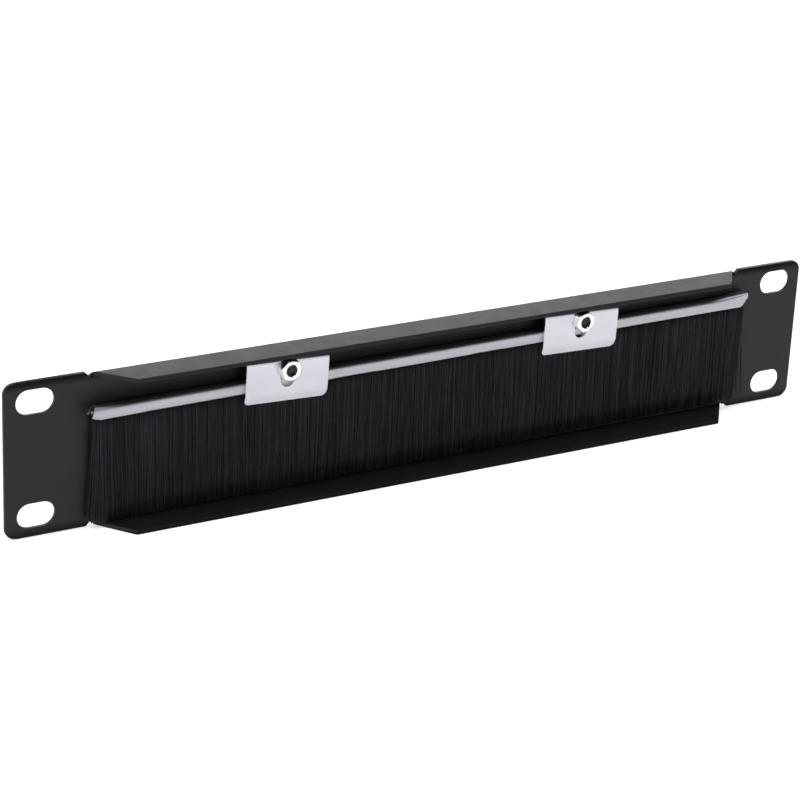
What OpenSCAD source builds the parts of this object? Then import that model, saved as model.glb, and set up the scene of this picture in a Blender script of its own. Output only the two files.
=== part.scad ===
// Ten-inch rack panel, one unit high, with a brush strip clamped behind its cable window.
// Origin: centre of the rack-slot pattern, on the rear face of the sheet.
// +Z is up, +Y points to the rear, and +X is the left-hand side seen from the rear.

/* [Panel] */
// Overall width across both ears
panel_w = 254; // [250:0.5:260]
// Overall height, one rack unit less its clearance
panel_h = 43.4; // [42.4:0.1:44.4]
// Thickness of the steel sheet
sheet_t = 1.2; // [1:0.1:1.6]
// Radius of the four outer corners
corner_r = 3; // [1:0.5:4]
// Width of each ear, from the panel's side to the end of the folds
ear_w = 25.4; // [22:0.2:28]

/* [Rack slots] */
// Distance from a slot's centre to the panel's side
slot_inset_x = 8.7375; // [8:0.0125:9.5]
// Distance from a slot's centre to the panel's upper or lower edge
slot_inset_z = 5.825; // [5.3:0.025:6.5]
// Length of each slot, end to end
slot_len = 10.7; // [9:0.1:12]
// Width of each slot
slot_w = 6.9; // [6:0.1:8]

/* [Flanges] */
// How far the two flanges reach behind the rear face
flange_d = 10.2; // [9:0.1:14]
// How far each end of a flange slants in towards its free edge
flange_slant = 7.6; // [4:0.2:12]
// Inside radius of the folds
fold_r = 0.5; // [0.4:0.1:1.4]
// How far each flange opens past square, in degrees
fold_open = 1.5; // [0:0.5:3]
// Width of the relief notch at each end of a fold
notch_w = 2.4; // [2:0.1:4]
// Depth of the relief notches
notch_d = 1.15; // [0.8:0.05:1.6]

/* [Cable window] */
// Distance from the window's sides to the ends of the folds
window_margin = 3.6; // [2:0.2:10]
// How far the brush holder clears the window's upper edge
window_top_cover = 2.7; // [1.5:0.1:4]
// How far the bristles reach past the window's lower edge
window_tip_cover = 3.7; // [2:0.1:6]
// Radius of the window's corners
window_r = 2; // [1:0.5:4]

/* [Brush] */
// How far the brush strip reaches past each end of the folds
brush_past = 2.9; // [0.5:0.1:5]
// How far the strip sits off the middle, as it was slid in
brush_shift = -1.2; // [-2:0.1:2]
// Tilt of the strip in its clamps, in degrees
brush_tilt = 0.5; // [-0.6:0.1:0.6]
// Gap between the holder and the flange above it
holder_drop = 6.9; // [6.6:0.1:7.4]
// Depth of the holder, which is also the diameter of its round back
holder_d = 3.4; // [3.2:0.1:4]
// Height of the holder
holder_h = 3.4; // [3.2:0.1:4.2]
// Thickness of the holder's metal
holder_wall = 0.4; // [0.3:0.05:0.5]
// How far each lip of the holder is crimped inwards
crimp = 0.55; // [0.3:0.05:0.6]
// Height of the crimped lips
crimp_h = 0.8; // [0.6:0.1:1.2]
// Length of the lower corner snipped off the holder's left end
snip_len_left = 3; // [0.5:0.1:4]
// Height of the corner snipped off the left end
snip_h_left = 1.1; // [0.3:0.1:3]
// Length of the lower corner snipped off the holder's right end
snip_len_right = 2.1; // [0.5:0.1:4]
// Height of the corner snipped off the right end
snip_h_right = 2.9; // [0.3:0.1:3]
// Diameter of the core wire that the filaments fold over
wire_d = 1; // [0.8:0.1:1.2]
// Gap between the bristle tips and the flange below them
tip_gap = 1.6; // [1.4:0.1:4]
// Distance from one tuft of bristles to the next
tuft_pitch = 1.8; // [1.8:0.1:3]
// Gap between neighbouring tufts
tuft_gap = 0.25; // [0.15:0.05:0.4]
// Height below the holder at which the gaps between the tufts end
tuft_root = 2; // [1:0.5:6]
// Most that a tuft falls short of the longest one
tip_spread = 0.9; // [0:0.1:2]
// Lean of the last tuft at either end of the strip, in degrees
end_lean = 3; // [0:0.5:4]

/* [Clamps] */
// Distance from a clamp stud to the end of the folds on its side
stud_inset = 54.6; // [40:0.2:62]
// How far the pair of clamps sits off the middle
stud_shift = 0.6; // [-2:0.1:2]
// Diameter of the threaded studs
stud_d = 3; // [2.5:0.5:3]
// Gap between the studs and the tilted holder under them
stud_gap = 0.15; // [0.1:0.05:0.5]
// Width of a clamp
clamp_w = 24.8; // [20:0.2:30]
// Thickness of a clamp's sheet
clamp_t = 0.9; // [0.8:0.1:1.2]
// Gap between the tilted clamps and the upper fold
clamp_gap = 0.6; // [0.05:0.05:0.8]
// Inside radius of the fold at a clamp's top
clamp_fold_r = 1.2; // [0.4:0.1:1.4]
// Radius of a clamp's lower corners
clamp_corner_r = 1.5; // [0.5:0.25:2.5]
// How far below the holder a clamp's lip starts
lip_drop = 1.6; // [1:0.1:2]
// Length of the lip
lip_len = 2.6; // [1.5:0.1:3]
// Angle at which the lip leans towards the panel
lip_angle = 19; // [5:1:20]
// Width of the slot in a clamp
clamp_slot_w = 4.2; // [3.6:0.1:5]
// How far the slot's lower end lies under the stud
clamp_slot_down = 3.2; // [2:0.1:4.2]
// How far the slot's upper end lies over the stud
clamp_slot_up = 0.1; // [0:0.1:0.4]
// Tilt of the left clamp on its stud, in degrees
tilt_left = -2; // [-3:0.5:3]
// Tilt of the right clamp on its stud, in degrees
tilt_right = -1.5; // [-3:0.5:3]

/* [Nuts] */
// Width of a nut across its flats
nut_af = 5.5; // [5:0.1:6]
// Height of a nut
nut_h = 2.4; // [1.8:0.1:3]
// How far the end of the stud stays below the nut's face
stud_recess = 1; // [0.3:0.1:1.4]
// Turn of the left nut, in degrees
nut_turn_left = 12; // [0:1:59]
// Turn of the right nut, in degrees
nut_turn_right = 47; // [0:1:59]

/* [Hidden] */
$fn = 64;
fit = 0.05;                                     // running clearance of what slides over something
past = 1;                                       // how far a cutting tool runs past what it cuts

half_h = panel_h / 2;
fold_w = panel_w - 2 * ear_w;                   // length of the flanges at the fold
free_edge_w = fold_w - 2 * flange_slant;        // length of the flanges at their free edge
slot_pitch_x = panel_w - 2 * slot_inset_x;      // 236.525 in a ten-inch rack
slot_pitch_z = panel_h - 2 * slot_inset_z;      // 31.75 in one unit
window_w = fold_w - 2 * window_margin;
brush_len = fold_w + 2 * brush_past;
stud_pitch = fold_w - 2 * stud_inset;
fold_out = fold_r + sheet_t;
fold_root = (fold_w + notch_w) / 2;             // where a fold ends, on the sheet's front face
flange_in_z = half_h - sheet_t;                 // height of the flanges' inner faces

holder_top = flange_in_z - holder_drop;
holder_low = holder_top - holder_h;
holder_mid_y = holder_d / 2;
back_z = holder_top - holder_d / 2;             // centre of the holder's round back
mouth = holder_d - 2 * (crimp + holder_wall);   // gap between the crimped lips
curtain_t = mouth - 2 * fit;                    // thickness of the bristle curtain
tip_z = tip_gap - flange_in_z;
bristle_len = holder_low - tip_z;
tuft_count = floor(brush_len / tuft_pitch);
tuft_step = brush_len / tuft_count;
lean_start = 0.9;                               // share of the half length that stays upright

window_top = holder_low - window_top_cover;
window_low = tip_z + window_tip_cover;

brush_rise = stud_pitch / 2 * sin(abs(brush_tilt));
stud_z = holder_top + brush_rise + stud_gap + stud_d / 2;
clamp_face_y = holder_d + clamp_t;              // outer face of the clamps, where the nuts seat
nut_face_y = clamp_face_y + nut_h;
stud_len = nut_face_y - stud_recess;
tilt_rise = clamp_w / 2 * sin(max(abs(tilt_left), abs(tilt_right)));
clamp_top = flange_in_z - fold_r - clamp_gap - tilt_rise;
clamp_fold_y = holder_d - clamp_fold_r;         // centre of the clamp's upper fold
clamp_fold_z = clamp_top - clamp_t - clamp_fold_r;
lip_z = holder_low - lip_drop;

nut_corner_r = nut_af / 2 / cos(30);
nut_face_r = 0.95 * nut_af / 2;                 // radius at which the nut's chamfers start
nut_turned_r = nut_corner_r + 0.2;              // radius to which the chamfers are turned
nut_chamfer = (nut_turned_r - nut_face_r) * tan(30);
nut_sink = 0.25;                                // width of the countersink round the thread

black_paint = [0.20, 0.20, 0.21];
zinc = [0.84, 0.84, 0.87];
aluminium = [0.72, 0.71, 0.74];
steel = [0.45, 0.45, 0.47];
nylon = [0.12, 0.11, 0.13];

// A flat shape drawn in X and Z, given a thickness from y = 0 towards the front
module sheet(thickness) {
    rotate([90, 0, 0])
        linear_extrude(thickness)
            children();
}

// A profile drawn in Y and Z, drawn out along X about x = 0
module along_x(length) {
    translate([-length / 2, 0, 0])
        rotate([90, 0, 90])
            linear_extrude(length)
                children();
}

// A turned shape whose axis points to the rear
module facing_rear() {
    rotate([-90, 0, 0])
        children();
}

// Puts a piece at a stud: side 1 is the left one, side -1 the right one
module at_stud(side) {
    translate([stud_shift + side * stud_pitch / 2, 0, stud_z])
        children();
}

module rounded_rect(w, h, r) {
    square([w - 2 * r, h], center = true);
    square([w, h - 2 * r], center = true);
    for (x = [-1, 1], z = [-1, 1])
        translate([x * (w / 2 - r), z * (h / 2 - r)])
            circle(r);
}

// A slot with round ends, lying along X
module slot_shape(length, width) {
    square([length - width, width], center = true);
    for (x = [-1, 1])
        translate([x * (length - width) / 2, 0])
            circle(width / 2);
}

// A quarter of a ring: the section of a folded sheet
module fold_section(inside_r, thickness) {
    intersection() {
        difference() {
            circle(inside_r + thickness);
            circle(inside_r);
        }
        square(inside_r + thickness);
    }
}

// --- panel -----------------------------------------------------------------------------------

// Section of one flange and its fold, for the upper flange, drawn past its free edge
module flange_section() {
    reach = 2 * fold_out;
    translate([fold_r, half_h - fold_out]) {
        intersection() {
            difference() {
                circle(fold_out);
                circle(fold_r);
            }
            polygon([
                [0, 0], [-reach * sin(fold_open), reach * cos(fold_open)],
                [-reach, reach], [-reach, 0]
            ]);
        }
        rotate(fold_open)
            translate([0, fold_r])
                square([flange_d + past, sheet_t]);
    }
}

// Plan of the flanges: their ends slant inwards from the front face to the free edge
module flange_plan() {
    free_edge = free_edge_w / 2;
    slant = (fold_root - free_edge) / (sheet_t + flange_d);
    front = fold_root + slant * past;
    polygon([
        [-front, -sheet_t - past], [front, -sheet_t - past],
        [free_edge, flange_d], [-free_edge, flange_d]
    ]);
}

module upper_flange() {
    intersection() {
        along_x(2 * (fold_root + past))
            flange_section();
        linear_extrude(panel_h)
            flange_plan();
    }
}

// A relief notch: a blunt V with a round bottom, drawn with its mouth at z = 0
module notch_shape() {
    bottom_r = notch_w / 6;
    bottom_z = bottom_r - notch_d;
    polygon([
        [-notch_w / 2, 0], [-bottom_r, bottom_z], [bottom_r, bottom_z],
        [notch_w / 2, 0], [notch_w / 2, past], [-notch_w / 2, past]
    ]);
    translate([0, bottom_z])
        circle(bottom_r);
}

// The flat of the panel: ears and web, with the strips that become the flanges taken off
module flat_outline() {
    difference() {
        rounded_rect(panel_w, panel_h, corner_r);
        for (z = [-1, 1])
            translate([0, z * (half_h + past - fold_out / 2)])
                square([2 * fold_root, fold_out + 2 * past], center = true);
        for (side = [-1, 1], flip = [0, 1])
            mirror([0, flip])
                translate([side * (fold_root + notch_w / 6), half_h])
                    notch_shape();
        for (x = [-1, 1], z = [-1, 1])
            translate([x * slot_pitch_x / 2, z * slot_pitch_z / 2])
                slot_shape(slot_len, slot_w);
        translate([0, (window_top + window_low) / 2])
            rounded_rect(window_w, window_top - window_low, window_r);
    }
}

module panel() {
    color(black_paint) {
        sheet(sheet_t)
            flat_outline();
        for (flip = [0, 1])
            mirror([0, 0, flip])
                upper_flange();
    }
}

// --- brush strip -----------------------------------------------------------------------------

// Puts the brush strip in its clamps: shifted to one side and tilted about its middle
module in_clamps() {
    translate([brush_shift, 0, holder_low])
        rotate([0, brush_tilt, 0])
            translate([0, 0, -holder_low])
                children();
}

// The round back in section: a half disc whose centre is at back_z
module half_disc(r) {
    translate([holder_mid_y, back_z])
        intersection() {
            circle(r);
            translate([-r, 0])
                square([2 * r, r]);
        }
}

// The front leg of the holder in section, with its crimped lip
module leg_section() {
    polygon([
        [0, back_z], [holder_wall, back_z], [holder_wall, holder_low + crimp_h],
        [crimp + holder_wall, holder_low], [crimp, holder_low], [0, holder_low + crimp_h]
    ]);
}

// What is snipped off the holder's lower corner at one end
module snip(side, length, height) {
    translate([side * brush_len / 2, 0, holder_low])
        rotate([90, 0, 0])
            linear_extrude(2 * (holder_d + past), center = true)
                polygon([[side * past, -past], [-side * length, -past],
                         [-side * length, 0], [0, height], [side * past, height]]);
}

module brush_holder() {
    color(aluminium)
        in_clamps()
            difference() {
                union() {
                    along_x(brush_len)
                        difference() {
                            half_disc(holder_d / 2);
                            half_disc(holder_d / 2 - holder_wall);
                        }
                    along_x(brush_len)
                        leg_section();
                    along_x(brush_len)
                        translate([holder_d, 0])
                            mirror([1, 0])
                                leg_section();
                }
                snip(1, snip_len_left, snip_h_left);
                snip(-1, snip_len_right, snip_h_right);
            }
}

module core_wire() {
    color(steel)
        in_clamps()
            translate([0, holder_mid_y, back_z])
                rotate([0, 90, 0])
                    cylinder(d = wire_d, h = brush_len, center = true);
}

// Filaments folded over the core wire, down to where the gaps between the tufts start
module bristle_root() {
    length = brush_len - 2 * fit;
    half_w = holder_d / 2 - holder_wall - fit;
    difference() {
        union() {
            along_x(length)
                half_disc(half_w);
            along_x(length)
                translate([holder_mid_y, 0])
                    polygon([
                        [-half_w, back_z], [half_w, back_z], [half_w, holder_low + crimp_h],
                        [curtain_t / 2, holder_low], [-curtain_t / 2, holder_low],
                        [-half_w, holder_low + crimp_h]
                    ]);
            along_x(length)
                translate([holder_mid_y - curtain_t / 4, holder_low - tuft_root])
                    square([curtain_t / 2, tuft_root + crimp_h / 2]);
        }
        along_x(brush_len)
            translate([holder_mid_y, back_z])
                circle(wire_d / 2 + fit);
    }
}

// Even but irregular number between 0 and 1 for tuft i
function unevenness(i) = (2 + sin(i * 137) + sin(i * 61)) / 4;

// Place of tuft i along the strip, from -1 at one end to 1 at the other
function place_along(i) = (2 * i + 1) / tuft_count - 1;

// Plan of one tuft: a bundle with a ridge on its front and on its rear
module tuft_plan() {
    half_w = (tuft_step - tuft_gap) / 2;
    half_t = curtain_t / 2 - fit;
    crown = half_w / 3;
    side = half_t * 0.6;
    polygon([
        [-half_w, -side], [-crown, -half_t], [crown, -half_t], [half_w, -side],
        [half_w, side], [crown, half_t], [-crown, half_t], [-half_w, side]
    ]);
}

module tuft(i) {
    place = place_along(i);
    lean = end_lean * sign(place) * pow(max(0, abs(place) - lean_start) / (1 - lean_start), 2);
    length = bristle_len - tip_spread * unevenness(i);
    translate([place * (brush_len / 2 - fit), holder_mid_y, holder_low])
        rotate([0, -lean, 0])
            translate([0, 0, -length])
                linear_extrude(length + crimp_h / 2)
                    tuft_plan();
}

module bristles() {
    color(nylon)
        in_clamps() {
            bristle_root();
            for (i = [0 : tuft_count - 1])
                tuft(i);
        }
}

// --- clamps ----------------------------------------------------------------------------------

// A stud, welded to the panel's rear face, with a chamfered end
module stud(side) {
    chamfer = stud_d / 8;
    color(zinc)
        at_stud(side)
            facing_rear()
                rotate_extrude()
                    polygon([
                        [0, 0], [stud_d / 2, 0], [stud_d / 2, stud_len - chamfer],
                        [stud_d / 2 - chamfer, stud_len], [0, stud_len]
                    ]);
}

// A clamp's bent sheet: a foot on the panel, a fold, a face and an inturned lip
module clamp_sheet() {
    lip_y = clamp_face_y - lip_len * sin(lip_angle);
    lip_low = lip_z - lip_len * cos(lip_angle);
    along_x(clamp_w)
        translate([0, clamp_top - clamp_t])
            square([clamp_fold_y, clamp_t]);
    along_x(clamp_w)
        translate([clamp_fold_y, clamp_fold_z])
            fold_section(clamp_fold_r, clamp_t);
    along_x(clamp_w)
        polygon([
            [clamp_face_y, clamp_fold_z], [clamp_face_y, lip_z], [lip_y, lip_low],
            [lip_y - clamp_t * cos(lip_angle), lip_low + clamp_t * sin(lip_angle)],
            [holder_d, lip_z + clamp_t * tan(lip_angle / 2)], [holder_d, clamp_fold_z]
        ]);
}

// Outline of a clamp seen from the rear, with its two lower corners rounded
module clamp_outline() {
    low = lip_z - lip_len * cos(lip_angle);
    half_w = clamp_w / 2;
    translate([-half_w, low + clamp_corner_r])
        square([clamp_w, clamp_top - low]);
    translate([clamp_corner_r - half_w, low])
        square([clamp_w - 2 * clamp_corner_r, clamp_corner_r]);
    for (side = [-1, 1])
        translate([side * (half_w - clamp_corner_r), low + clamp_corner_r])
            circle(clamp_corner_r);
}

// The clamp's slot, which runs down from just over the stud
module clamp_slot() {
    translate([0, stud_z + (clamp_slot_up - clamp_slot_down) / 2])
        rotate(90)
            slot_shape(clamp_slot_up + clamp_slot_down + clamp_slot_w, clamp_slot_w);
}

module clamp(side, tilt) {
    color(zinc)
        at_stud(side)
            rotate([0, tilt, 0])
                translate([0, 0, -stud_z])
                    difference() {
                        intersection() {
                            clamp_sheet();
                            translate([0, clamp_face_y + past, 0])
                                sheet(clamp_face_y + 2 * past)
                                    clamp_outline();
                        }
                        translate([0, clamp_face_y + past, 0])
                            sheet(clamp_face_y + past - clamp_fold_y)
                                clamp_slot();
                    }
}

// A hexagon nut with chamfered corners and a countersunk bore
module nut(side, turn) {
    bore_r = stud_d / 2 + fit;
    color(zinc)
        at_stud(side)
            translate([0, clamp_face_y, 0])
                facing_rear()
                    difference() {
                        intersection() {
                            rotate(-turn)
                                cylinder(r = nut_corner_r, h = nut_h, $fn = 6);
                            rotate_extrude()
                                polygon([
                                    [0, 0], [nut_face_r, 0], [nut_turned_r, nut_chamfer],
                                    [nut_turned_r, nut_h - nut_chamfer],
                                    [nut_face_r, nut_h], [0, nut_h]
                                ]);
                        }
                        rotate_extrude()
                            polygon([
                                [0, -past], [bore_r + nut_sink, -past], [bore_r + nut_sink, 0],
                                [bore_r, nut_sink], [bore_r, nut_h - nut_sink],
                                [bore_r + nut_sink, nut_h], [bore_r + nut_sink, nut_h + past],
                                [0, nut_h + past]
                            ]);
                    }
}

panel();
brush_holder();
core_wire();
bristles();
stud(1);  // stud_left
stud(-1);  // stud_right
clamp(1, tilt_left);  // clamp_left
clamp(-1, tilt_right);  // clamp_right
nut(1, nut_turn_left);  // nut_left
nut(-1, nut_turn_right);  // nut_right
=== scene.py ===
"""Looks of the ten-inch rack brush strip panel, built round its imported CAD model."""
import math

import bmesh
import bpy
import numpy as np
from mathutils import Matrix, Vector


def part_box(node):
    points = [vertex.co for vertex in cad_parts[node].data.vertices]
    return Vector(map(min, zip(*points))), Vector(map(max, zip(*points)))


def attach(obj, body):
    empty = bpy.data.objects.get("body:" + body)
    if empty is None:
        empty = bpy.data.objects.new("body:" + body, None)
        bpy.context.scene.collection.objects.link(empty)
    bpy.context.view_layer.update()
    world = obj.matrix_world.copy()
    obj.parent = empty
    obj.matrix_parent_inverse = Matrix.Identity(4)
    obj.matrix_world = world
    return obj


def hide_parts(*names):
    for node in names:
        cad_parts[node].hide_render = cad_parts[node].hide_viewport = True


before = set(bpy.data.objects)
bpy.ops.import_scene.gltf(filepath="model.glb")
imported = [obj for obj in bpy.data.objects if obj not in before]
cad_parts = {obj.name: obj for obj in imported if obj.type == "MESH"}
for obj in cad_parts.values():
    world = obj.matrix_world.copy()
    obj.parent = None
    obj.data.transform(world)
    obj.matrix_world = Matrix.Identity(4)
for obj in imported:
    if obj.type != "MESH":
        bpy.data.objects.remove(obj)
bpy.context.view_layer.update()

MM = 0.001
rng = np.random.default_rng(31)

# As in the part's source
SHEET_T = 1.2 * MM
BRUSH_TILT = math.radians(0.5)
HOLDER_H = 3.4 * MM
HOLDER_WALL = 0.4 * MM
CRIMP = 0.55 * MM
CRIMP_H = 0.8 * MM
WIRE_R = 0.5 * MM
STUD_R = 1.5 * MM
THREAD_PITCH = 0.5 * MM
EAR_EDGE_Z = 21.7 * MM
NOTCH_X = (0.1008, 0.1056)
NOTCH_Z = 0.0195

panel_low, panel_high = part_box("panel")
holder_box_low, holder_box_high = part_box("brush_holder")
bristle_box_low, bristle_box_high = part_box("bristles")
wire_low, wire_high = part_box("core_wire")


# ---------------------------------------------------------------------------------------------
# Camera, floor and light

AZIMUTH = math.radians(30.853)     # of the camera, from +Y towards +X
ELEVATION = math.radians(21.825)
ROLL = math.radians(2.65)
FOCAL_MM = 119.22
PAN_MM = (-8.61, -2.62)
DISTANCE_MM = 739.2


def make_camera():
    back = Vector((math.sin(AZIMUTH) * math.cos(ELEVATION),
                   math.cos(AZIMUTH) * math.cos(ELEVATION), math.sin(ELEVATION)))
    level = Vector((-math.cos(AZIMUTH), math.sin(AZIMUTH), 0))
    upright = back.cross(level)
    right = level * math.cos(ROLL) + upright * math.sin(ROLL)
    up = upright * math.cos(ROLL) - level * math.sin(ROLL)
    data = bpy.data.cameras.new("camera")
    data.sensor_width = 36
    data.lens = FOCAL_MM
    data.clip_start, data.clip_end = 0.01, 50
    camera = bpy.data.objects.new("camera", data)
    place = (right * PAN_MM[0] + up * PAN_MM[1] + back * DISTANCE_MM) * MM
    turn = Matrix((right, up, back)).transposed()
    camera.matrix_world = Matrix.Translation(place) @ turn.to_4x4()
    bpy.context.scene.collection.objects.link(camera)
    bpy.context.scene.camera = camera


def larger(tree, first, second):
    node = tree.nodes.new("ShaderNodeMath")
    node.operation = "MAXIMUM"
    tree.links.new(first, node.inputs[0])
    tree.links.new(second, node.inputs[1])
    return node.outputs[0]


def product(tree, first, second):
    """first times second, which is a socket or a number."""
    node = tree.nodes.new("ShaderNodeMath")
    node.operation = "MULTIPLY"
    tree.links.new(first, node.inputs[0])
    if isinstance(second, (int, float)):
        node.inputs[1].default_value = second
    else:
        tree.links.new(second, node.inputs[1])
    return node.outputs[0]


def graded(tree, value, start, end, low=0.0, high=1.0):
    """Numbers that go smoothly from low to high as value goes from start to end."""
    node = tree.nodes.new("ShaderNodeMapRange")
    node.interpolation_type = "SMOOTHSTEP"
    for name, number in (("From Min", start), ("From Max", end), ("To Min", low),
                         ("To Max", high)):
        node.inputs[name].default_value = number
    tree.links.new(value, node.inputs["Value"])
    return node.outputs[0]


def mirrored(path, tree):
    return larger(tree, path.outputs["Is Glossy Ray"], path.outputs["Is Transmission Ray"])


def make_world():
    """White to the camera, soft light on the object, and in reflections a white studio whose
    side behind the camera is darker just above the horizon."""
    world = bpy.data.worlds.new("studio")
    bpy.context.scene.world = world
    world.use_nodes = True
    tree = world.node_tree
    tree.nodes.clear()
    path = tree.nodes.new("ShaderNodeLightPath")
    axes = tree.nodes.new("ShaderNodeSeparateXYZ")
    tree.links.new(tree.nodes.new("ShaderNodeTexCoord").outputs["Generated"], axes.inputs[0])
    band = product(tree, graded(tree, axes.outputs["Z"], 0.08, 0.7),
                   graded(tree, axes.outputs["Z"], 0.66, 0.86, 1, 0))
    band = product(tree, band, graded(tree, axes.outputs["Y"], -0.1, 0.3))
    soft, studio, white = (tree.nodes.new("ShaderNodeBackground") for _ in range(3))
    soft.inputs["Strength"].default_value = 0.55
    tree.links.new(graded(tree, band, 0, 1, 1, 0.08), studio.inputs["Strength"])
    for background in (soft, studio, white):
        background.inputs["Color"].default_value = (1, 1, 1, 1)
    shown = soft
    for factor, background in ((mirrored(path, tree), studio),
                               (path.outputs["Is Camera Ray"], white)):
        mix = tree.nodes.new("ShaderNodeMixShader")
        tree.links.new(factor, mix.inputs["Fac"])
        tree.links.new(shown.outputs[0], mix.inputs[1])
        tree.links.new(background.outputs[0], mix.inputs[2])
        shown = mix
    out = tree.nodes.new("ShaderNodeOutputWorld")
    tree.links.new(shown.outputs[0], out.inputs["Surface"])


def make_floor():
    mesh = bpy.data.meshes.new("floor")
    half = 6.0
    z = panel_low.z
    mesh.from_pydata([(-half, -half, z), (half, -half, z), (half, half, z), (-half, half, z)],
                     [], [(0, 1, 2, 3)])
    floor = bpy.data.objects.new("floor", mesh)
    bpy.context.scene.collection.objects.link(floor)
    paper = bpy.data.materials.new("floor_paper")
    paper.use_nodes = True
    tree = paper.node_tree
    shader = tree.nodes["Principled BSDF"]
    shader.inputs["Base Color"].default_value = (0.85, 0.85, 0.85, 1)
    shader.inputs["Roughness"].default_value = 0.9
    shader.inputs["Specular IOR Level"].default_value = 0
    glow = tree.nodes.new("ShaderNodeEmission")
    glow.inputs["Color"].default_value = (1, 1, 1, 1)
    path = tree.nodes.new("ShaderNodeLightPath")
    seen = larger(tree, path.outputs["Is Camera Ray"],
                  product(tree, mirrored(path, tree), MIRRORED_GLOW))
    tree.links.new(product(tree, seen, FLOOR_GLOW), glow.inputs["Strength"])
    add = tree.nodes.new("ShaderNodeAddShader")
    tree.links.new(shader.outputs[0], add.inputs[0])
    tree.links.new(glow.outputs[0], add.inputs[1])
    tree.links.new(add.outputs[0], tree.nodes["Material Output"].inputs["Surface"])
    mesh.materials.append(paper)


FLOOR_GLOW = 0.5
MIRRORED_GLOW = 0.55     # of that, in reflections


def make_lamp(name, place, size, power):
    data = bpy.data.lights.new(name, "AREA")
    data.shape = "DISK"
    data.size = size
    data.energy = power
    lamp = bpy.data.objects.new(name, data)
    lamp.location = place
    lamp.rotation_mode = "QUATERNION"
    lamp.rotation_quaternion = Vector(place).to_track_quat("Z", "Y")
    lamp.visible_camera = False
    bpy.context.scene.collection.objects.link(lamp)


# ---------------------------------------------------------------------------------------------
# Materials

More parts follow.
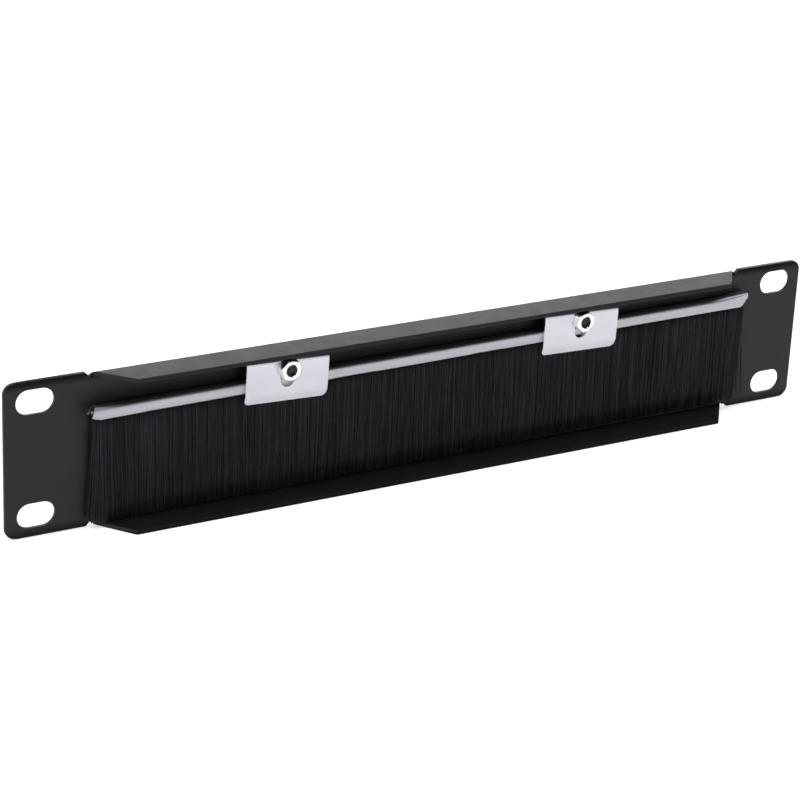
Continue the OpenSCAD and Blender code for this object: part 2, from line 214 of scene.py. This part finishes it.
class Surface:
    """A principled material under construction, with textures in object space, in millimetres."""

    def __init__(self, name, color, metallic, roughness):
        self.material = bpy.data.materials.new(name)
        self.material.use_nodes = True
        self.tree = self.material.node_tree
        self.shader = self.tree.nodes["Principled BSDF"]
        self.shader.inputs["Base Color"].default_value = (*color, 1)
        self.shader.inputs["Metallic"].default_value = metallic
        self.shader.inputs["Roughness"].default_value = roughness
        self.coordinates = self.tree.nodes.new("ShaderNodeTexCoord")
        self.height = None

    def noise(self, cell_mm, detail=2.0, stretch=(1, 1, 1)):
        """Noise whose cells are cell_mm wide, longer by stretch along each axis."""
        mapping = self.tree.nodes.new("ShaderNodeMapping")
        mapping.inputs["Scale"].default_value = [1000 / (cell_mm * s) for s in stretch]
        self.tree.links.new(self.coordinates.outputs["Object"], mapping.inputs["Vector"])
        noise = self.tree.nodes.new("ShaderNodeTexNoise")
        noise.inputs["Scale"].default_value = 1
        noise.inputs["Detail"].default_value = detail
        self.tree.links.new(mapping.outputs[0], noise.inputs["Vector"])
        return noise.outputs["Fac"]

    def between(self, factor, low, high, start=0.3, end=0.7):
        """Numbers from low to high as factor goes from start to end."""
        node = self.tree.nodes.new("ShaderNodeMapRange")
        node.inputs["From Min"].default_value = start
        node.inputs["From Max"].default_value = end
        node.inputs["To Min"].default_value = low
        node.inputs["To Max"].default_value = high
        self.tree.links.new(factor, node.inputs["Value"])
        return node.outputs[0]

    def vary_color(self, factor, low, high, start=0.3, end=0.7):
        ramp = self.tree.nodes.new("ShaderNodeValToRGB")
        ramp.color_ramp.elements[0].position = start
        ramp.color_ramp.elements[0].color = (*low, 1)
        ramp.color_ramp.elements[1].position = end
        ramp.color_ramp.elements[1].color = (*high, 1)
        self.tree.links.new(factor, ramp.inputs[0])
        self.tree.links.new(ramp.outputs[0], self.shader.inputs["Base Color"])

    def vary_roughness(self, factor, low, high):
        self.tree.links.new(self.between(factor, low, high), self.shader.inputs["Roughness"])

    def near_edge(self, edge, width):
        """0 over the sheet, rising to 1 at z = -edge and z = edge over the last width."""
        axes = self.tree.nodes.new("ShaderNodeSeparateXYZ")
        self.tree.links.new(self.coordinates.outputs["Object"], axes.inputs[0])
        away = self.tree.nodes.new("ShaderNodeMath")
        away.operation = "ABSOLUTE"
        self.tree.links.new(axes.outputs["Z"], away.inputs[0])
        near = self.between(away.outputs[0], 1, 0, edge - width, edge)
        return self.between(near, 0, 1, 1, 0)

    def edge_roll(self, edge, width):
        """0 over the sheet, falling to -1 at z = -edge and z = edge over the last width."""
        near = self.near_edge(edge, width)
        return self.between(product(self.tree, near, near), 0, -1, 0, 1)

    def painted_shade_gloss(self, edge, width, low, high):
        """Painted shade: takes the gloss from high to low towards the ears' upper and lower edges, on
        the faces that look to the back, and in the corner under the upper flange, where the flange and
        the brush holder shade the paint. The upper flange's free edge keeps it."""
        place, facing = (self.tree.nodes.new("ShaderNodeSeparateXYZ") for _ in range(2))
        self.tree.links.new(self.coordinates.outputs["Object"], place.inputs[0])
        self.tree.links.new(self.tree.nodes.new("ShaderNodeNewGeometry").outputs["Normal"],
                            facing.inputs[0])
        dull = product(self.tree, self.near_edge(edge, width),
                       self.between(facing.outputs["Y"], 0, 1, 0.6, 0.8))
        dull = product(self.tree, dull, larger(
            self.tree, self.between(place.outputs["Y"], 1, 0, 2 * MM, 3 * MM),
            self.between(place.outputs["Z"], 1, 0, -1 * MM, 1 * MM)))
        along = self.tree.nodes.new("ShaderNodeMath")
        along.operation = "ABSOLUTE"
        self.tree.links.new(place.outputs["X"], along.inputs[0])
        corner = product(self.tree, self.between(place.outputs["Z"], 0.6, 0, 14.8 * MM, 18.6 * MM),
                         self.between(place.outputs["Z"], 0, 1, 8 * MM, 12 * MM))
        corner = product(self.tree, corner, self.between(along.outputs[0], 1, 0, 100 * MM, 109 * MM))
        corner = product(self.tree, corner, self.between(facing.outputs["Y"], 0, 1, 0.6, 0.8))
        corner = product(self.tree, corner, self.between(place.outputs["Y"], 1, 0, 2 * MM, 3 * MM))
        dull = larger(self.tree, dull, corner)
        self.tree.links.new(self.between(dull, high, low, 0, 0.7),
                            self.shader.inputs["Specular IOR Level"])

    def sheared_edge(self):
        """1 falling to 0 up the lower flange's cut edges, and 0 elsewhere: the shears leave
        them leaning."""
        place, facing = (self.tree.nodes.new("ShaderNodeSeparateXYZ") for _ in range(2))
        self.tree.links.new(self.coordinates.outputs["Object"], place.inputs[0])
        self.tree.links.new(self.tree.nodes.new("ShaderNodeNewGeometry").outputs["Normal"],
                            facing.inputs[0])
        cut = product(self.tree, self.between(place.outputs["Y"], 0, 1, 0.4 * MM, 0.6 * MM),
                      self.between(facing.outputs["Y"], 0, 1, 0.45, 0.5))
        return product(self.tree, cut,
                       self.between(place.outputs["Z"], 1, 0, -22.3 * MM, -20.3 * MM))

    def bump(self, factor, depth_mm, strength=1.0):
        """Adds a relief of depth_mm on top of the ones before it."""
        node = self.tree.nodes.new("ShaderNodeBump")
        node.inputs["Strength"].default_value = strength
        node.inputs["Distance"].default_value = depth_mm * MM
        self.tree.links.new(factor, node.inputs["Height"])
        if self.height is not None:
            self.tree.links.new(self.height, node.inputs["Normal"])
        self.height = node.outputs[0]
        self.tree.links.new(self.height, self.shader.inputs["Normal"])


def powder_coat():
    s = Surface("black_powder_coat", (0.0048, 0.0045, 0.0054), 0, 0.36)
    # painted shade: less gloss near the ears' edges and in the corner above the brush holder
    s.painted_shade_gloss(EAR_EDGE_Z, 2.6 * MM, 0.11, 0.39)
    s.shader.inputs["Specular Tint"].default_value = (0.96, 0.91, 1.0, 1)
    s.vary_color(s.noise(7), (0.0042, 0.0040, 0.0047), (0.0056, 0.0052, 0.0062))
    s.vary_roughness(s.noise(4), 0.46, 0.53)
    s.bump(s.edge_roll(EAR_EDGE_Z, 2.2 * MM), 0.6)
    s.bump(s.sheared_edge(), 2.2)
    s.bump(s.noise(2.2, detail=1), 0.010)
    s.bump(s.noise(0.35, detail=2), 0.005)
    return s.material


def rolled_aluminium():
    s = Surface("rolled_aluminium", (0.445, 0.44, 0.475), 1, 0.34)
    s.vary_color(s.noise(0.5, stretch=(60, 1, 1)), (0.42, 0.415, 0.45), (0.47, 0.465, 0.50))
    s.vary_roughness(s.noise(1.5, stretch=(8, 1, 1)), 0.30, 0.40)
    s.bump(s.noise(0.12, stretch=(80, 1, 1)), 0.004)
    s.bump(s.noise(3.5, detail=1), 0.02)
    return s.material


def drawn_steel():
    s = Surface("drawn_steel", (0.75, 0.74, 0.76), 1, 0.3)
    s.vary_roughness(s.noise(0.3), 0.26, 0.36)
    s.bump(s.noise(0.1, stretch=(20, 1, 1)), 0.003)
    return s.material


def nylon():
    s = Surface("black_nylon", (0.008, 0.0075, 0.009), 0, 0.4)
    s.shader.inputs["Specular IOR Level"].default_value = 0.22
    s.shader.inputs["Specular Tint"].default_value = (0.95, 0.88, 1.0, 1)
    islands = s.tree.nodes.new("ShaderNodeNewGeometry").outputs["Random Per Island"]
    place = s.tree.nodes.new("ShaderNodeSeparateXYZ")
    s.tree.links.new(s.coordinates.outputs["Object"], place.inputs[0])
    tip_z = to_row(np.array([[0, 0, -tip_reach]]))[0, 2]
    # painted light: the filaments grow lighter over their last 4 mm, up to twice as far up the colour
    # ramp at the tips, where the lower flange shades them
    painted_tip_light = s.between(place.outputs["Z"], 2, 1, float(tip_z), float(tip_z) + 4 * MM)
    s.vary_color(product(s.tree, islands, product(s.tree, painted_tip_light, 0.5)),
                 (0.0070, 0.0061, 0.0079), (0.0520, 0.0455, 0.0580), 0.0, 1.0)
    s.bump(s.noise(0.1, stretch=(1, 1, 12)), 0.003)
    return s.material


def bright_zinc():
    s = Surface("bright_zinc", (0.63, 0.62, 0.675), 1, 0.16)
    s.vary_color(s.noise(6, detail=1), (0.61, 0.60, 0.655), (0.65, 0.64, 0.695))
    s.vary_roughness(s.noise(1.2), 0.13, 0.19)
    s.bump(s.noise(0.15, stretch=(1, 1, 10)), 0.0008)
    s.bump(s.noise(6, detail=1), 0.006)
    return s.material


def nut_zinc():
    s = Surface("nut_zinc", (0.90, 0.90, 0.93), 1, 0.2)
    s.vary_roughness(s.noise(0.6), 0.16, 0.26)
    s.bump(s.noise(0.25), 0.003)
    return s.material


def dark_steel():
    """Steel far darker than its own colour, as painted shade inside the nut's bore, on the nut's
    thread and down the hole on the stud's cut end, which is also unplated steel.
    """
    s = Surface("dark_steel", (0.05, 0.048, 0.055), 1, 0.42)
    s.vary_color(s.noise(0.35), (0.02, 0.019, 0.023), (0.10, 0.097, 0.11), 0.4, 0.7)
    s.bump(s.noise(0.22, detail=2), 0.02)
    return s.material


# ---------------------------------------------------------------------------------------------
# Pieces

def add_piece(name, mesh, material, slot, *nodes):
    piece = bpy.data.objects.new(name, mesh)
    bpy.context.scene.collection.objects.link(piece)
    mesh.materials.clear()
    mesh.materials.append(material)
    for polygon in mesh.polygons:
        polygon.material_index = 0
    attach(piece, "root")
    if nodes:
        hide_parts(*nodes)
    return piece


def second_material(piece, material, chosen):
    """Gives the polygons whose corners are all chosen another material."""
    piece.data.materials.append(material)
    for polygon in piece.data.polygons:
        if all(chosen(piece.data.vertices[i].co) for i in polygon.vertices):
            polygon.material_index = 1


def even_shading(piece):
    """Smooth shading in which the flat faces stay flat and only the rounded edges turn."""
    for polygon in piece.data.polygons:
        polygon.use_smooth = True
    normals = piece.modifiers.new("normals", "WEIGHTED_NORMAL")
    normals.keep_sharp = True
    normals.weight = 80


def at_notch(edge):
    """Whether a panel's edge belongs to the small cut beside the end of a flange."""
    return any(NOTCH_X[0] < abs(v.co.x) < NOTCH_X[1] and abs(v.co.z) > NOTCH_Z
               for v in edge.verts)


def softened(node, name, radius_mm, segments, material, slot, angle=30, spare=None):
    """A copy of a CAD node whose edges are rounded, as paint and plating leave them."""
    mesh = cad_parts[node].data.copy()
    mesh.name = name
    bm = bmesh.new()
    bm.from_mesh(mesh)
    bmesh.ops.remove_doubles(bm, verts=bm.verts, dist=1e-6)
    bmesh.ops.dissolve_limit(bm, angle_limit=math.radians(0.5), verts=bm.verts, edges=bm.edges)
    edges = [e for e in bm.edges
             if e.is_manifold and e.calc_face_angle(0) > math.radians(angle)]
    spared = [e for e in edges if spare and spare(e)]
    edges = [e for e in edges if e not in spared]
    for edge in spared:
        edge.smooth = False
    bmesh.ops.bevel(bm, geom=edges, offset=radius_mm * MM, offset_type="OFFSET",
                    segments=segments, profile=0.5, affect="EDGES", clamp_overlap=spare is None)
    bmesh.ops.recalc_face_normals(bm, faces=bm.faces)
    bm.to_mesh(mesh)
    bm.free()
    piece = add_piece(name, mesh, material, slot, node)
    even_shading(piece)
    return piece


def grid_mesh(name, rows, closed_across, cap_start=False, cap_end=False):
    """A mesh through rows of points, each a list of points across, optionally closed across."""
    across = len(rows[0])
    vertices = [tuple(p) for row in rows for p in row]
    faces = []
    last = across if closed_across else across - 1
    for i in range(len(rows) - 1):
        for j in range(last):
            k = (j + 1) % across
            faces.append((i * across + j, i * across + k, (i + 1) * across + k,
                          (i + 1) * across + j))
    if cap_start:
        faces.append(tuple(range(across))[::-1])
    if cap_end:
        start = (len(rows) - 1) * across
        faces.append(tuple(range(start, start + across)))
    mesh = bpy.data.meshes.new(name)
    mesh.from_pydata(vertices, [], faces)
    bm = bmesh.new()
    bm.from_mesh(mesh)
    bmesh.ops.recalc_face_normals(bm, faces=bm.faces)
    bm.to_mesh(mesh)
    bm.free()
    return mesh


# The brush strip's own frame: x along it from its middle, y and z as in the row, tilted
strip_middle = (holder_box_low.x + holder_box_high.x) / 2
strip_len = (wire_high.x - wire_low.x - 2 * WIRE_R * math.sin(BRUSH_TILT)) / math.cos(BRUSH_TILT)
wire_middle = (wire_low + wire_high) / 2
holder_depth = holder_box_high.y - holder_box_low.y
back_r = holder_depth / 2
holder_low = wire_middle.z + back_r - HOLDER_H
tip_reach = holder_low - bristle_box_low.z
STRIP = (Matrix.Translation((strip_middle, 0, holder_low))
         @ Matrix.Rotation(BRUSH_TILT, 4, "Y"))


def to_row(points):
    """Points of the strip's frame, whose z = 0 is the holder's lower edge, in the row's."""
    turn = np.array(STRIP)
    return points @ turn[:3, :3].T + turn[:3, 3]


def holder_section(squareness):
    """The holder's section as a closed loop of (y, z): out along one side and back inside. Its
    round back is the squarer, the larger the squareness is."""
    steps = 20
    mid = HOLDER_WALL / 2
    back_z = HOLDER_H - back_r
    path = [(CRIMP * 0.5 + mid, 0), (CRIMP * 0.2 + mid, CRIMP_H * 0.25),
            (mid + CRIMP * 0.04, CRIMP_H * 0.55), (mid, CRIMP_H),
            (mid, (CRIMP_H + back_z) / 2)]
    power = 1 - squareness
    for i in range(steps + 1):
        turn = math.pi * i / steps
        across = math.copysign(abs(math.cos(turn)) ** power, math.cos(turn))
        path.append((back_r - (back_r - mid) * across,
                     back_z + (back_r - mid) * abs(math.sin(turn)) ** power))
    path += [(holder_depth - y, z) for y, z in path[:5][::-1]]
    path = np.array(path)
    along = np.gradient(path, axis=0)
    along /= np.linalg.norm(along, axis=1)[:, None]
    side = np.stack([-along[:, 1], along[:, 0]], axis=1)
    outer = path + side * mid
    inner = path - side * mid
    round_end = path[-1] + along[-1] * mid * 0.6
    round_start = path[0] - along[0] * mid * 0.6
    return np.vstack([outer, round_end, inner[::-1], round_start])


def smooth_noise(x, cell, seed):
    """Smooth random numbers from -1 to 1 along x, one for each cell."""
    draw = np.random.default_rng(seed)
    low = math.floor(x.min() / cell) - 1
    knots = draw.uniform(-1, 1, int((x.max() - x.min()) / cell) + 4)
    place = x / cell - low
    i = np.clip(place.astype(int), 0, len(knots) - 2)
    t = place - i
    t = t * t * (3 - 2 * t)
    return knots[i] * (1 - t) + knots[i + 1] * t


# How the holder's ends were cut off: the corner taken off below, the flare of the back, and how
# much shorter the outer wall is at its top
LEFT_END = {"snip_len": 2.8 * MM, "snip_h": 1.0 * MM, "snip_power": 1.6, "reach": 8 * MM,
            "rise": 0.25 * MM, "squareness": 0, "inset": 1.0 * MM, "far_inset": 1.5 * MM,
            "extra": 0.8 * MM}
RIGHT_END = {"snip_len": 2.1 * MM, "snip_h": 3.0 * MM, "snip_power": 0.95, "reach": 16 * MM,
             "rise": 0.8 * MM, "squareness": 0.6, "inset": 0.0, "far_inset": 0.0, "extra": 0.0}
INSET_REACH = 6 * MM


def make_holder(material):
    half = strip_len / 2
    near = np.array([0, 0.12, 0.3, 0.6, 1, 1.4, 1.8, 2.2, 2.6, 3.0, 3.6, 4.4, 5.5, 7, 9, 12,
                     15]) * MM
    middle = np.linspace(-half + 18 * MM, half - 18 * MM, 90)
    stations = np.concatenate([-half + near, middle, (half - near)[::-1]])
    wave_y = smooth_noise(stations, 9 * MM, 5) * 0.02 * MM
    wave_z = smooth_noise(stations, 14 * MM, 6) * 0.03 * MM
    rows = []
    for x, dy, dz in zip(stations, wave_y, wave_z):
        end = LEFT_END if x > 0 else RIGHT_END
        from_end = half - abs(x)
        cut = end["snip_h"] * max(0, 1 - from_end / end["snip_len"]) ** end["snip_power"]
        flare = max(0, 1 - from_end / end["reach"]) ** 2
        section = holder_section(0.28 + end["squareness"] * flare)
        high = np.clip(section[:, 1] / HOLDER_H, 0, 1)
        outward = np.clip(section[:, 0] / holder_depth * 2.2 - 0.9, 0, 1)
        up = np.clip((section[:, 1] - end["snip_h"]) / (HOLDER_H - end["snip_h"]), 0, 1)
        inset = end["far_inset"] + (end["inset"] - end["far_inset"]) * outward
        inset = inset * up
        shrink = np.clip(from_end / INSET_REACH, 0, 1)
        row = np.zeros((len(section), 3))
        row[:, 0] = math.copysign(1, x) * (half - from_end + (end["extra"] - inset) * (1 - shrink))
        row[:, 1] = section[:, 0] * (1 + 0.1 * flare) + dy * section[:, 0] / holder_depth
        row[:, 2] = np.maximum(section[:, 1] + dz + flare * end["rise"] * high, cut)
        rows.append(to_row(row))
    mesh = grid_mesh("brush_holder_channel", rows, True, True, True)
    piece = add_piece("brush_holder_channel", mesh, material, "holder_metal", "brush_holder")
    for polygon in mesh.polygons:
        polygon.use_smooth = True
    mesh.set_sharp_from_angle(angle=math.radians(40))
    return piece


def tubes_mesh(name, paths, radius, sides, taper=1.0):
    """Closed tubes through paths, an array of tube, ring and point. Radius is one per tube."""
    count, rings, _ = paths.shape
    along = np.gradient(paths, axis=1)
    along /= np.linalg.norm(along, axis=2)[:, :, None]
    reference = np.array([0.0, 1.0, 0.0])
    first = np.cross(along, reference)
    first /= np.linalg.norm(first, axis=2)[:, :, None]
    second = np.cross(along, first)
    start = np.random.default_rng(3).uniform(0, 2 * math.pi, count)
    turn = start[:, None] + np.arange(sides)[None, :] * 2 * math.pi / sides
    size = np.asarray(radius)[:, None] * np.linspace(1, taper, rings)[None, :]
    points = (paths[:, :, None, :]
              + size[:, :, None, None] * (np.cos(turn)[:, None, :, None] * first[:, :, None, :]
                                          + np.sin(turn)[:, None, :, None] * second[:, :, None, :]))
    vertices = points.reshape(-1, 3)
    base = np.arange(count)[:, None, None] * rings * sides
    ring = np.arange(rings - 1)[None, :, None] * sides
    j = np.arange(sides)[None, None, :]
    k = (j + 1) % sides
    quads = np.stack([base + ring + j, base + ring + k, base + ring + sides + k,
                      base + ring + sides + j], axis=-1).reshape(-1, 4)
    tops = (np.arange(count)[:, None] * rings * sides + np.arange(sides)[None, ::-1])
    tips = (np.arange(count)[:, None] * rings * sides + (rings - 1) * sides
            + np.arange(sides)[None, :])
    mesh = bpy.data.meshes.new(name)
    loops = np.concatenate([quads.ravel(), tops.ravel(), tips.ravel()]).astype(np.int32)
    totals = np.concatenate([np.full(len(quads), 4), np.full(2 * count, sides)]).astype(np.int32)
    starts = np.concatenate([[0], np.cumsum(totals)[:-1]]).astype(np.int32)
    mesh.vertices.add(len(vertices))
    mesh.vertices.foreach_set("co", vertices.astype(np.float32).ravel())
    mesh.loops.add(len(loops))
    mesh.loops.foreach_set("vertex_index", loops)
    mesh.polygons.add(len(totals))
    mesh.polygons.foreach_set("loop_start", starts)
    mesh.polygons.foreach_set("loop_total", totals)
    mesh.update(calc_edges=True)
    smooth = np.concatenate([np.full(len(quads), True), np.full(2 * count, False)])
    mesh.polygons.foreach_set("use_smooth", smooth)
    return mesh


FILAMENT_R = 0.105 * MM
FILAMENTS = 10500
RINGS = 8


def filament_paths(x, y, length, lean, bow, loose=1.0):
    """Paths of filaments that start in the holder at x and y and hang down by length. They
    stray from each other the more, the larger loose is."""
    s = np.linspace(0, 1, RINGS)[None, :]
    count = len(x)
    phase = rng.uniform(0, 2 * math.pi, (count, 2))
    waves = rng.uniform(0.6, 1.7, (count, 2))
    root = CRIMP_H * 0.9
    paths = np.zeros((count, RINGS, 3))
    sway = rng.normal(0, 0.2 * MM * loose, count)[:, None] * s ** 1.5
    ripple_x = (np.sin(phase[:, :1] + waves[:, :1] * 2 * math.pi * s) - np.sin(phase[:, :1]))
    ripple_y = (np.sin(phase[:, 1:] + waves[:, 1:] * 2 * math.pi * s) - np.sin(phase[:, 1:]))
    paths[:, :, 0] = x[:, None] + lean[:, None] * s ** 1.2 + bow[:, None] * s ** 2 + sway
    paths[:, :, 0] += ripple_x * 0.12 * MM * loose * s
    middle = holder_depth / 2
    paths[:, :, 1] = middle + (y[:, None] - middle) * (1 + 0.28 * s) + ripple_y * 0.11 * MM * s
    paths[:, :, 1] += rng.normal(0, 0.08 * MM, count)[:, None] * s
    paths[:, :, 1] = np.clip(paths[:, :, 1], FILAMENT_R + 0.12 * MM, (2.4 + 0.5 * s) * MM)
    paths[:, :, 2] = root - (root + length[:, None]) * s
    return to_row(paths.reshape(-1, 3)).reshape(count, RINGS, 3)


def make_bristles(material):
    half = strip_len / 2
    mouth = holder_depth / 2 - CRIMP - HOLDER_WALL - FILAMENT_R
    x = np.sort(rng.uniform(-half + 0.3 * MM, half - 0.3 * MM, FILAMENTS))
    x = np.linspace(-half + 0.3 * MM, half - 0.3 * MM, FILAMENTS) * 0.7 + x * 0.3
    y = holder_depth / 2 + rng.uniform(-1, 1, FILAMENTS) * mouth
    parts = np.array_split(np.argsort(y), 3)
    x[parts[1]] = np.linspace(-half + 0.3 * MM, half - 0.3 * MM, len(parts[1]))
    bow = smooth_noise(x, 1.5 * MM, 8) * 0.35 * MM + smooth_noise(x, 6 * MM, 9) * 0.45 * MM
    near_left = np.clip((x - half + 9 * MM) / (9 * MM), 0, 1)
    near_right = np.clip((-x - half + 5 * MM) / (5 * MM), 0, 1)
    lean = near_left ** 2.2 * 0.5 * MM + near_right ** 2 * 1.5 * MM
    uneven = smooth_noise(x, 4 * MM, 10) * 0.25 * MM + rng.uniform(-0.6, 0.1, FILAMENTS) * MM
    length = tip_reach + np.minimum(uneven, 0) - 0.1 * MM
    for name, part, loose in zip(("bristles_front", "bristles_middle", "bristles_rear"),
                                 parts, (1.0, 0.2, 1.0)):
        paths = filament_paths(x[part], y[part], length[part], lean[part],
                               bow[part] * loose, loose)
        radius = FILAMENT_R * rng.uniform(0.85, 1.1, len(part))
        mesh = tubes_mesh(name, paths, radius, 3, 0.9)
        add_piece(name, mesh, material, "black_nylon", "bristles")

    # Loose filaments that spread out past the strip's ends
    left_count, right_count = 22, 9
    count = left_count + right_count
    x = np.concatenate([half - rng.uniform(0.15, 1.4, left_count) * MM,
                        -half + rng.uniform(0.15, 1.0, right_count) * MM])
    y = holder_depth / 2 + rng.uniform(-1, 1, count) * mouth
    lean = np.concatenate([rng.uniform(0.4, 2.6, left_count), -rng.uniform(0.3, 2.9, right_count)])
    length = tip_reach - rng.uniform(0.2, 2.5, count) * MM
    paths = filament_paths(x, y, length, lean * MM, np.zeros(count))
    mesh = tubes_mesh("bristles_loose", paths, FILAMENT_R * rng.uniform(0.8, 1.05, count), 4, 0.9)
    add_piece("bristles_loose", mesh, material, "black_nylon")


def make_folds(material):
    """The filaments' loops over the core wire, which the holder's open ends show."""
    half = strip_len / 2
    wire_z = HOLDER_H - back_r
    mouth = holder_depth / 2 - CRIMP - HOLDER_WALL - FILAMENT_R
    radii = np.array([0.14, 0.36, 0.57]) * MM + WIRE_R
    depths = np.array([0.06, 0.3, 0.54, 0.78, 1.02]) * MM
    paths = []
    for side in (-1, 1):
        for d in depths:
            for k, radius in enumerate(radii):
                arc = np.linspace(math.pi, 0, 9)
                loop_y = holder_depth / 2 + radius * np.cos(arc)
                loop_z = wire_z + radius * np.sin(arc)
                leg = mouth * (k + 0.7) / len(radii)
                legs_z = np.array([0.15, 0.55]) * CRIMP_H
                loop_y = np.concatenate([[holder_depth / 2 - leg] * 2, loop_y,
                                         [holder_depth / 2 + leg] * 2])
                loop_z = np.concatenate([legs_z, loop_z, legs_z[::-1]])
                jitter = rng.normal(0, 0.03 * MM)
                inset = d + (1.3 * MM if side > 0 else 0)
                loop_x = np.full(len(loop_y), side * (half - inset - 0.07 * MM * (k % 2)) + jitter)
                paths.append(np.stack([loop_x, loop_y, loop_z], axis=1))
    paths = np.array(paths)
    along = np.gradient(paths, axis=1)
    along /= np.linalg.norm(along, axis=2)[:, :, None]
    count, rings, _ = paths.shape
    sides = 6
    turn = np.arange(sides) * 2 * math.pi / sides
    across = np.array([1.0, 0, 0])
    second = np.cross(along, across)
    points = (paths[:, :, None, :]
              + FILAMENT_R * 0.9 * (np.cos(turn)[None, None, :, None] * across
                                    + np.sin(turn)[None, None, :, None] * second[:, :, None, :]))
    bm = bmesh.new()
    for tube in points:
        rows = [[bm.verts.new(p) for p in to_row(ring)] for ring in tube]
        for a, b in zip(rows, rows[1:]):
            for j in range(sides):
                k = (j + 1) % sides
                bm.faces.new((a[j], a[k], b[k], b[j]))
        bm.faces.new(rows[0][::-1])
        bm.faces.new(rows[-1])
    bmesh.ops.recalc_face_normals(bm, faces=bm.faces)
    mesh = bpy.data.meshes.new("bristle_folds")
    bm.to_mesh(mesh)
    bm.free()
    for polygon in mesh.polygons:
        polygon.use_smooth = True
    add_piece("bristle_folds", mesh, material, "black_nylon")


def thread_depth(turn, z):
    """How deep the thread is at a turn and a height, from 0 on its crest to 1 in its groove."""
    place = (z / THREAD_PITCH - turn / (2 * math.pi)) % 1
    return np.clip(1 - abs(place - 0.5) * 2.6 + 0.15, 0, 1)


def make_stud(node, name, material, end_material):
    low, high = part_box(node)
    centre_x, centre_z = (low.x + high.x) / 2, (low.z + high.z) / 2
    around = 48
    turns = np.arange(around) * 2 * math.pi / around
    levels = np.concatenate([[0, 0.2 * MM], np.arange(0.4 * MM, high.y - 0.02 * MM, THREAD_PITCH / 8)])
    chamfer = 0.3 * MM
    rows = []
    for y in levels:
        depth = thread_depth(turns, y) * 0.26 * MM if y > 0.3 * MM else np.zeros(around)
        radius = STUD_R - depth
        radius = np.minimum(radius, STUD_R - max(0, y - (high.y - chamfer)))
        rows.append(np.stack([centre_x + radius * np.cos(turns), np.full(around, y),
                              centre_z + radius * np.sin(turns)], axis=1))
    for inset, back in ((0.36, 0.0), (0.42, 0.02), (1.1, 0.03), (1.3, 0.08)):
        radius = STUD_R - inset * MM
        rows.append(np.stack([centre_x + radius * np.cos(turns),
                              np.full(around, high.y - back * MM),
                              centre_z + radius * np.sin(turns)], axis=1))
    mesh = grid_mesh(name, rows, True, True, True)
    for polygon in mesh.polygons:
        polygon.use_smooth = True
    mesh.set_sharp_from_angle(angle=math.radians(50))
    piece = add_piece(name, mesh, material, "nut_zinc", node)
    # painted shade, and partly the cut end's own unplated steel: the stud's last 0.6 mm, down the
    # nut's hole, takes the dark steel
    second_material(piece, end_material, lambda place: place.y > high.y - 0.6 * MM)


def in_bore(node):
    """Tells whether a place lies in the bore of a nut."""
    low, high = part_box(node)
    centre_x, centre_z = (low.x + high.x) / 2, (low.z + high.z) / 2
    return lambda place: math.hypot(place.x - centre_x, place.z - centre_z) < STUD_R + 0.2 * MM


def make_nut_thread(node, name, material):
    """The ridge of the nut's thread, which fills the grooves of the stud's."""
    low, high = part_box(node)
    centre_x, centre_z = (low.x + high.x) / 2, (low.z + high.z) / 2
    around = 48
    start, end = low.y + 0.28 * MM, high.y - 0.28 * MM
    steps = int((end - start) / THREAD_PITCH * around)
    rows = []
    for i in range(steps + 1):
        turn = 2 * math.pi * i / around
        fade = min(1, i / 12, (steps - i) / 12)
        y = start + THREAD_PITCH * i / around
        row = []
        for radius, offset in ((STUD_R + 0.09 * MM, -0.2), (STUD_R - 0.18 * MM * fade, -0.05),
                               (STUD_R - 0.18 * MM * fade, 0.05), (STUD_R + 0.09 * MM, 0.2)):
            row.append((centre_x + radius * math.cos(turn), y + offset * MM,
                        centre_z + radius * math.sin(turn)))
        rows.append(row)
    mesh = grid_mesh(name, rows, True, True, True)
    for polygon in mesh.polygons:
        polygon.use_smooth = True
    mesh.set_sharp_from_angle(angle=math.radians(40))
    return add_piece(name, mesh, material, "nut_zinc")


# ---------------------------------------------------------------------------------------------
# The scene

scene = bpy.context.scene
scene.view_settings.view_transform = "Standard"
make_camera()
make_world()
make_floor()
make_lamp("overhead", (0.3, 0.5, 2.2), 1.8, 24)
make_lamp("side", (1.6, 1.4, 0.9), 1.6, 8)
make_lamp("rim", (-1.19, -1.99, 0.93), 2.4, 11.5)

black_paint = powder_coat()
zinc = bright_zinc()
nut_metal = nut_zinc()
bare_and_shaded_steel = dark_steel()
wire_steel = drawn_steel()
nylon_black = nylon()

softened("panel", "panel_sheet", 0.2, 3, black_paint, "black_powder_coat", spare=at_notch)
make_holder(rolled_aluminium())
make_bristles(nylon_black)
make_folds(nylon_black)
for side in ("left", "right"):
    softened("clamp_" + side, "clamp_plate_" + side, 0.14, 3, zinc, "bright_zinc")
    nut = softened("nut_" + side, "nut_body_" + side, 0.08, 2, nut_metal, "nut_zinc", angle=24)
    # painted shade: the nut's bore takes the dark steel instead of its plating
    second_material(nut, bare_and_shaded_steel, in_bore("nut_" + side))
    make_stud("stud_" + side, "stud_thread_" + side, nut_metal, bare_and_shaded_steel)
    # painted shade: the nut's thread is made of the dark steel
    make_nut_thread("nut_" + side, "nut_thread_" + side, bare_and_shaded_steel)

core_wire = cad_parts["core_wire"]
core_wire.data.materials.clear()
core_wire.data.materials.append(wire_steel)
for polygon in core_wire.data.polygons:
    polygon.material_index = 0
